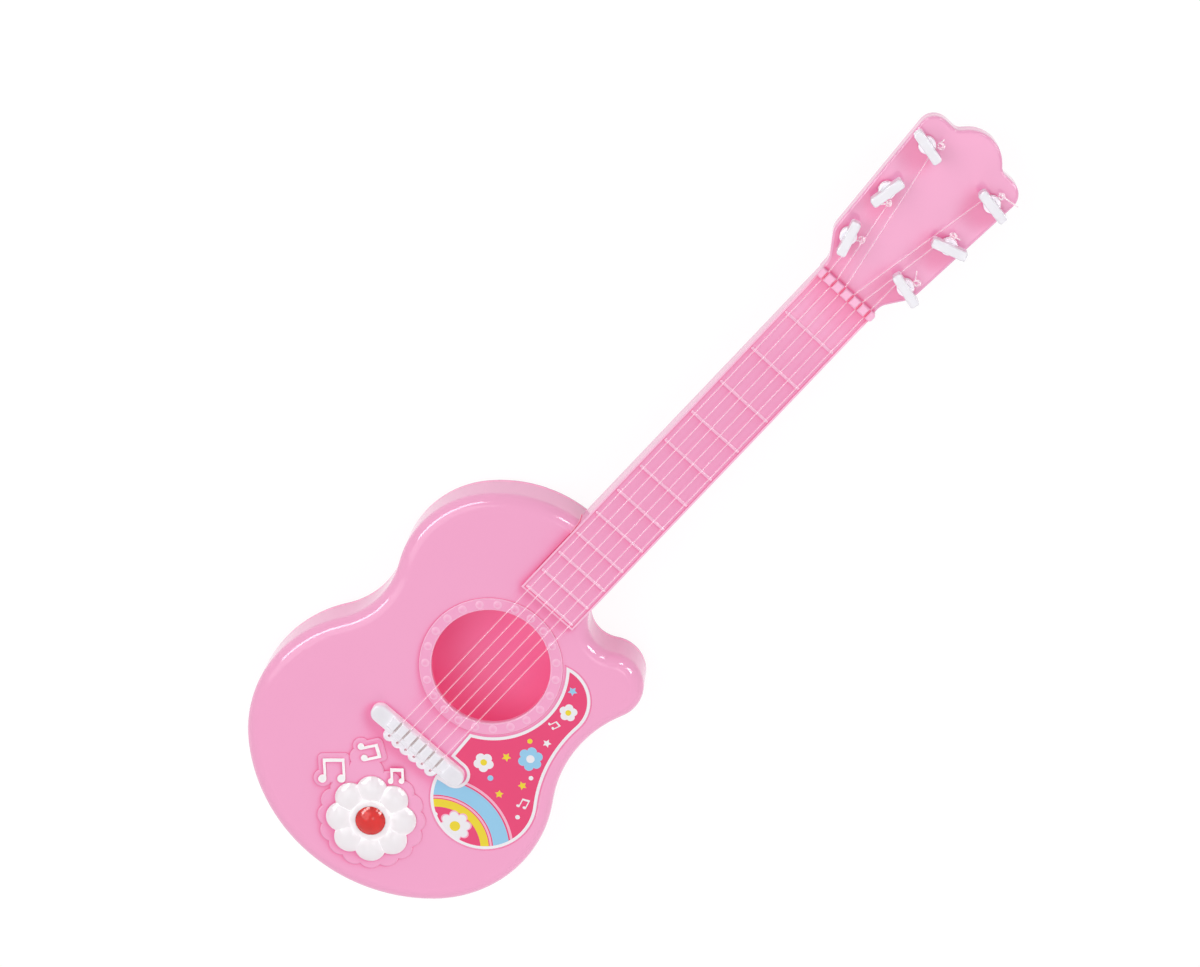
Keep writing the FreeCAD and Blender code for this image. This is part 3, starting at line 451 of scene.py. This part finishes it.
def along_plan(tree, first, second):
    """Sum of the products of the X and Y parts of two vectors."""
    across = maths(tree, "MULTIPLY", first["X"], second["X"])
    return maths(tree, "MULTIPLY_ADD", first["Y"], second["Y"], across)


def ring_highlights(tree):
    """Painted highlight, up to RING_SHARE, on the slopes of the ring round the sound hole: lips and
    beads.
    """
    place, normal = parts_of(tree, "Object"), parts_of(tree, "Normal")
    near = maths(tree, "LESS_THAN", along_plan(tree, place, place), RING_REACH**2)
    above = maths(tree, "GREATER_THAN", place["Z"], RING_LOW)
    slope = ranged(tree, normal["Z"], *RING_SLOPES, high=RING_SHARE)
    return maths(tree, "MULTIPLY", maths(tree, "MULTIPLY", near, above), slope)


def hollow_faces(tree):
    """1 on the faces of the body's shells that look into its hollow, 0 on the outer faces."""
    place, normal = parts_of(tree, "Object"), parts_of(tree, "Normal")
    lower = maths(tree, "LESS_THAN", place["Z"], HOLLOW_MIDDLE)
    up = maths(tree, "MULTIPLY", lower, maths(tree, "GREATER_THAN", normal["Z"], HOLLOW_LEVEL))
    upper = maths(tree, "GREATER_THAN", place["Z"], HOLLOW_MIDDLE)
    down = maths(tree, "MULTIPLY", upper, maths(tree, "LESS_THAN", normal["Z"], -HOLLOW_LEVEL))
    inwards = maths(tree, "LESS_THAN", along_plan(tree, place, normal), HOLLOW_INWARDS)
    walls = maths(tree, "MULTIPLY", inwards, maths(tree, "LESS_THAN", place["Z"], HOLLOW_TOP))
    return maths(tree, "MAXIMUM", maths(tree, "MAXIMUM", up, down), walls)


def bridge_finish(tree, shader, tint, gloss):
    """Painted shade in the saddle's slits, and the pink face's light painted on the walls as a
    glow.
    """
    depth = ranged(tree, openness(tree, SLIT_REACH), *SLIT_OPENNESS)
    steep = ranged(tree, parts_of(tree, "Normal")["Z"], *WALL_SLOPES, high=BOUNCE_GLOW)
    low = ranged(tree, parts_of(tree, "Object")["Z"], *BOUNCE_HEIGHTS)
    light_up(tree, shader, BOUNCE, maths(tree, "MULTIPLY", steep, low))
    return blend_colours(tree, depth, tint, rgb(*SLIT)), gloss


def clear_line(name, colour, deeper, thickest, thinnest=None):
    """Clear nylon with painted glow, fading in narrow slots or, given thinnest, broken into painted
    glints.
    """
    glow = {"Emission_Color": rgb(*LINE_GLOW), "Emission_Strength": LINE_GLOW_STRENGTH}
    material = plastic(name, colour, deeper, **glow)
    tree = material.node_tree
    if thinnest is None:
        alpha = ranged(tree, openness(tree, LINE_REACH), *LINE_OPENNESS, high=thickest)
    else:
        glints = noise(tree, GLINT_SCALE, 1.0)
        alpha = ranged(tree, glints, *GLINT_SHARES, thinnest, thickest)
    tree.links.new(alpha, tree.nodes["Principled BSDF"].inputs["Alpha"])
    return material


def paint(nodes, material):
    """Give CAD nodes a material."""
    for name in nodes:
        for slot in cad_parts[name].material_slots:
            slot.material = material


# ---- Pieces ----
def solid(name, points, faces, materials, indices=None, smooth=False):
    """New piece from points in millimetres."""
    mesh = bpy.data.meshes.new(name)
    mesh.from_pydata([Vector(point) * MM for point in points], [], faces)
    for material in materials:
        mesh.materials.append(material)
    if indices:
        mesh.polygons.foreach_set("material_index", indices)
    mesh.polygons.foreach_set("use_smooth", [smooth] * len(mesh.polygons))
    mesh.validate()
    return show(name, mesh)


def tube(name, path, radius, material):
    """Closed round tube along points in millimetres, with rounded ends."""
    last = len(path) - 1
    tangents = [
        (path[min(i + 1, last)] - path[max(i - 1, 0)]).normalized() for i in range(len(path))
    ]
    side = tangents[0].orthogonal().normalized()
    rings = []
    for point, tangent in zip(path, tangents):
        side = (side - tangent * side.dot(tangent)).normalized()
        rings.append((point, tangent, side, radius))
    point, tangent, side, _ = rings[0]
    start = [
        (point - tangent * radius * run, tangent, side, radius * reach)
        for run, reach in reversed(TUBE_CAP)
    ]
    point, tangent, side, _ = rings[-1]
    end = [
        (point + tangent * radius * run, tangent, side, radius * reach) for run, reach in TUBE_CAP
    ]
    rings = start + rings + end
    points = []
    for point, tangent, side, reach in rings:
        other = tangent.cross(side)
        for k in range(TUBE_SIDES):
            turn = tau * k / TUBE_SIDES
            points.append(point + (side * cos(turn) + other * sin(turn)) * reach)
    faces = []
    for first in range(0, len(points) - TUBE_SIDES, TUBE_SIDES):
        for k in range(TUBE_SIDES):
            a, b = first + k, first + (k + 1) % TUBE_SIDES
            faces.append((a, b, b + TUBE_SIDES, a + TUBE_SIDES))
    faces.append(tuple(reversed(range(TUBE_SIDES))))
    faces.append(tuple(range(len(points) - TUBE_SIDES, len(points))))
    return solid(name, points, faces, [material], smooth=True)


def smooth_path(points, steps):
    """Catmull-Rom curve through points."""
    padded = [points[0] * 2 - points[1]] + points + [points[-1] * 2 - points[-2]]
    path = []
    for a, b, c, d in zip(padded, padded[1:], padded[2:], padded[3:]):
        for step in range(steps):
            t = step / steps
            square = (a * 2 - b * 5 + c * 4 - d) * t**2
            path.append((b * 2 + (c - a) * t + square + (b * 3 - a - c * 3 + d) * t**3) / 2)
    return path + [points[-1]]


def add_string_end(number, material):
    """Turns of the string round a peg's spool, one loose turn under the flange and a curled end."""
    low, high = (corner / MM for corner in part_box(f"winding_{number}"))
    axis = (low + high) / 2
    azimuth, distance, size, tip_azimuth, tip_reach = STRING_ENDS[number]
    start, tip = radians(azimuth), radians(tip_azimuth)
    first_z = low.z + STRING_RADIUS + WOUND_GAP
    path = []
    for i in range(WOUND_STEPS):
        share = i / (WOUND_STEPS - 1)
        turn = start - tau * WOUND_TURNS * (1 - share)
        path.append((TURN_RADIUS, turn, first_z + WOUND_RISE * WOUND_TURNS * share))
    top = path[-1][2]
    loose_z = high.z - LOOSE_DROP
    for i in range(1, LOOSE_STEPS + 1):
        share = i / LOOSE_STEPS
        ease = share * share * (3 - 2 * share)
        widened = (LOOSE_RADIUS - TURN_RADIUS) * min(ease * LOOSE_SPREAD, 1.0)
        turn = start + tau * LOOSE_TURNS * share
        path.append((TURN_RADIUS + widened, turn, top + (loose_z - top) * ease))
    points = [Vector((radius * cos(turn), radius * sin(turn), z)) for radius, turn, z in path]
    out = Vector((cos(start), sin(start), 0))
    across = Vector((-sin(start), cos(start), 0))
    knots = [points[-1]]
    for forward, aside, lift in CRUMPLE:
        plan = out * (distance + forward * size) + across * aside * size
        knots.append(plan + Vector((0, 0, loose_z + lift)))
    end = Vector((cos(tip) * tip_reach, sin(tip) * tip_reach, loose_z + TIP_LIFT))
    knots.append((knots[-1] + end) / 2 + Vector((0, 0, TIP_ARCH)))
    knots.append(end)
    points += smooth_path(knots, CURL_STEPS)[1:]
    centre = Vector((axis.x, axis.y, 0))
    path = [centre + point for point in points]
    piece = tube(f"string_end_{number}", path, DRAWN_RADIUS, material)
    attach(piece, f"tuner_{number}")
    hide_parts(f"winding_{number}")


# ---- Sticker print ----
def circle(x, y, radius, count=48):
    angles = [tau * i / count for i in range(count)]
    return [(x + radius * cos(angle), y + radius * sin(angle)) for angle in angles]


def blossom(x, y, reach, petals, turn):
    """Outline of a flower with round petals."""
    outline = []
    for i in range(BLOSSOM_STEPS):
        angle = tau * i / BLOSSOM_STEPS
        wave = abs(cos(petals * (angle - radians(turn)) / 2)) ** BLOSSOM_ROUNDNESS
        radius = reach * (1 - BLOSSOM_DEPTH * (1 - wave))
        outline.append((x + radius * cos(angle), y + radius * sin(angle)))
    return outline


def star(x, y, reach, turn):
    """Outline of a star with five points."""
    outline = []
    for i in range(10):
        radius = reach if i % 2 == 0 else reach * STAR_WAIST
        angle = radians(turn) + pi * i / 5
        outline.append((x + radius * cos(angle), y + radius * sin(angle)))
    return outline


def band(x, y, inner, outer, start, end):
    """Part of a ring between two angles in degrees."""
    angles = [radians(start + (end - start) * i / BAND_STEPS) for i in range(BAND_STEPS + 1)]
    outside = [(x + outer * cos(a), y + outer * sin(a)) for a in angles]
    inside = [(x + inner * cos(a), y + inner * sin(a)) for a in reversed(angles)]
    return outside + inside


def note(x, y, size, turn):
    """Beamed pair of notes as three outlines: the stems with their beam, and two heads."""
    wide, high = NOTE_HEAD_SIZE
    outlines = [NOTE_STEMS]
    for a, b in NOTE_HEADS:
        outlines.append([(u * wide + a, v * high + b) for u, v in circle(0, 0, 1, 20)])
    c, s = cos(radians(turn)), sin(radians(turn))
    return [
        [(x + (u * c - v * s) * size, y + (u * s + v * c) * size) for u, v in outline]
        for outline in outlines
    ]


def inside_of(outline, x, y):
    """Whether a point lies inside a closed outline."""
    found = False
    for (x1, y1), (x2, y2) in zip(outline, outline[1:] + outline[:1]):
        if (y1 > y) != (y2 > y) and x < (x2 - x1) * (y - y1) / (y2 - y1) + x1:
            found = not found
    return found


def top_outline(name):
    """Outline of a flat CAD node's upper face, counter-clockwise, in millimetres."""
    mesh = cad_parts[name].data
    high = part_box(name)[1].z
    follow = {}
    for polygon in mesh.polygons:
        corners = [mesh.vertices[i].co for i in polygon.vertices]
        if all(abs(corner.z - high) < LEVEL_GAP for corner in corners):
            keys = [(round(c.x * 1e6), round(c.y * 1e6)) for c in corners]  # whole micrometres
            for a, b in zip(keys, keys[1:] + keys[:1]):
                follow[(a, b)] = True
    edges = {a: b for a, b in follow if (b, a) not in follow}
    start = next(iter(edges))
    loop = [start]
    while edges[loop[-1]] != start:
        loop.append(edges[loop[-1]])
    return [(x / 1000, y / 1000) for x, y in loop]


def segment_distance(point, start, end):
    start, end = Vector(start), Vector(end)
    run = end - start
    share = min(max((point - start).dot(run) / max(run.length_squared, 1e-12), 0), 1)
    return (point - start - run * share).length


def shrunk(outline, inset):
    """Counter-clockwise outline moved inwards, without the points that would cross over."""
    count = len(outline)
    moved = []
    for i in range(count):
        (x0, y0), (x1, y1), (x2, y2) = outline[i - 1], outline[i], outline[(i + 1) % count]
        a = Vector((x1 - x0, y1 - y0)).normalized()
        b = Vector((x2 - x1, y2 - y1)).normalized()
        middle = (a + b).normalized()
        normal = Vector((-middle.y, middle.x))
        stretch = inset / max(normal.dot(Vector((-a.y, a.x))), SHARPEST_CORNER)
        moved.append(Vector((x1, y1)) + normal * stretch)
    kept = []
    for point in moved:
        near = min(segment_distance(point, outline[i - 1], outline[i]) for i in range(count))
        if near > inset * INSET_KEPT and inside_of(outline, point.x, point.y):
            kept.append((point.x, point.y))
    return kept


def sticker_motifs():
    """Outlines with their colour, from the bottom of the print to the top."""
    motifs = [
        (colour, band(*RAINBOW, inner, outer, *RAINBOW_ENDS))
        for colour, inner, outer in RAINBOW_BANDS
    ]
    motifs += [
        ("pale", blossom(43, -77, 8.6, 8, 0)),
        ("white", blossom(43, -77, 7.8, 8, 0)),
        ("yellow", circle(43, -77, 2.7)),
        ("white", blossom(31, -41, 5.2, 5, 20)),
        ("yellow", circle(31, -41, 1.7, 24)),
        ("blue", blossom(47, -23.5, 6.4, 6, 0)),
        ("white", circle(47, -23.5, 2.1, 24)),
        ("white", blossom(44.5, 8, 4.6, 5, 50)),
        ("yellow", circle(44.5, 8, 1.5, 24)),
        ("yellow", star(53.5, -37, 2.4, 10)),
        ("white", star(47.5, -11.5, 2.3, 35)),
        ("yellow", circle(40.5, -16.5, 1.3, 24)),
        ("yellow", star(37.5, -31, 2.5, 30)),
        ("blue", star(38.5, 18, 2.5, 20)),
        ("yellow", star(48, -48.5, 2.3, 55)),
        ("blue", circle(39, -45, 1.5, 24)),
        ("white", circle(54, -31, 1.2, 20)),
        ("blue", circle(54, -3.5, 1.4, 24)),
        ("white", circle(63, -51.5, 1.2, 20)),
        ("white", circle(31.5, -79, 1.2, 20)),
    ]
    motifs += [("white", outline) for outline in note(60, -44, 2.6, 15)]
    motifs += [("white", outline) for outline in note(43.5, -1.5, 2.2, -20)]
    return motifs


def add_sticker_print(paints):
    """Thin print on the sticker: flat cells between all outlines, each in its motif's colour."""
    edge = shrunk(top_outline("pickguard_sticker"), PRINT_INSET)
    motifs = sticker_motifs()
    points, lines = [], []
    for outline in [edge] + [outline for _, outline in motifs]:
        first, count = len(points), len(outline)
        points += [Vector(point) for point in outline]
        lines += [(first + i, first + (i + 1) % count) for i in range(count)]
    corners, _, cells, *_ = delaunay_2d_cdt(points, lines, [], 0, 1e-5)
    names = list(paints)
    faces, indices = [], []
    for cell in cells:
        centre = sum((corners[i] for i in cell), Vector((0, 0))) / len(cell)
        if not inside_of(edge, centre.x, centre.y):
            continue
        colour = "magenta"
        for name, outline in motifs:
            if inside_of(outline, centre.x, centre.y):
                colour = name
        faces.append(cell)
        indices.append(names.index(colour))
    used = sorted({i for face in faces for i in face})
    count = len(used)
    order = {old: new for new, old in enumerate(used)}
    flat = [[order[i] for i in face] for face in faces]
    borders = {(a, b) for face in flat for a, b in zip(face, face[1:] + face[:1])}
    walls = [(a, b, b + count, a + count) for a, b in borders if (b, a) not in borders]
    upper = [[i + count for i in face] for face in flat]
    lower = [face[::-1] for face in flat]
    points = [(*corners[i], z) for z in (PRINT_LOW, PRINT_HIGH) for i in used]
    indices = indices * 2 + [names.index("magenta")] * len(walls)
    piece = solid("sticker_print", points, upper + lower + walls, list(paints.values()), indices)
    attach(piece, "guitar")


# ---- The scene ----
add_camera()
add_lamps()
add_world()
add_floor()

numbers = range(1, 7)
strings = [f"string_{i}" for i in numbers] + [f"winding_{i}" for i in numbers] + ["string_knots"]
screws = ["body_screws", "neck_screws", "neck_joint_screws", "bridge_screws"]
screws += [f"peg_screw_{i}" for i in numbers]
line = clear_line("nylon_line", (255, 240, 245), (252, 236, 242), thickest=0.34)
end_colours = {"colour": (255, 242, 246), "deeper": (252, 238, 243)}
line_end = clear_line("nylon_end", thickest=0.95, thinnest=0.2, **end_colours)
paint(["body_front", "body_back"], plastic("pink_body", PINK, PINK_DEEPER, finish=body_finish))
paint(["neck_front", "neck_back"], plastic("pink_neck", PINK, PINK_DEEPER, finish=neck_finish))
white_looks = {"colour": WHITE_PLASTIC, "deeper": WHITE_DEEPER, "spread": WHITE_SPREAD}
paint(["bridge"], plastic("white_bridge", finish=bridge_finish, **white_looks))
paint([f"peg_{i}" for i in numbers], plastic("white_plastic", **white_looks))
emblem_white = plastic("white_emblem", (242, 240, 241), (238, 236, 238), spread=WHITE_SPREAD)
paint(["emblem_flower"], emblem_white)
red = plastic("red_plastic", (222, 38, 34), (216, 34, 32), spread=(0.003, 0.0003, 0.0003))
paint(["emblem_centre"], red)
notes = plastic("white_notes", (242, 245, 243), (238, 241, 240), spread=(0.001, 0.001, 0.001))
paint(["music_notes"], notes)
paint(strings, line)
steel = plastic("zinc_steel", (176, 178, 180), (160, 162, 166), roughness=0.35, Metallic=1.0)
paint(screws, steel)
paint(["pickguard_sticker"], plastic("sticker_white", (240, 240, 242), (236, 236, 239)))
add_sticker_print(
    {
        "magenta": plastic("print_magenta", (232, 66, 118), (229, 62, 114)),
        "blue": plastic("print_blue", (148, 204, 234), (144, 200, 231)),
        "yellow": plastic("print_yellow", (235, 214, 44), (232, 211, 40)),
        "pale": plastic("print_pale", (243, 180, 204), (240, 176, 200)),
        "white": plastic("print_white", (236, 236, 238), (233, 233, 236)),
    }
)
for number in numbers:
    add_string_end(number, line_end)

bpy.context.scene.view_settings.view_transform = "Standard"
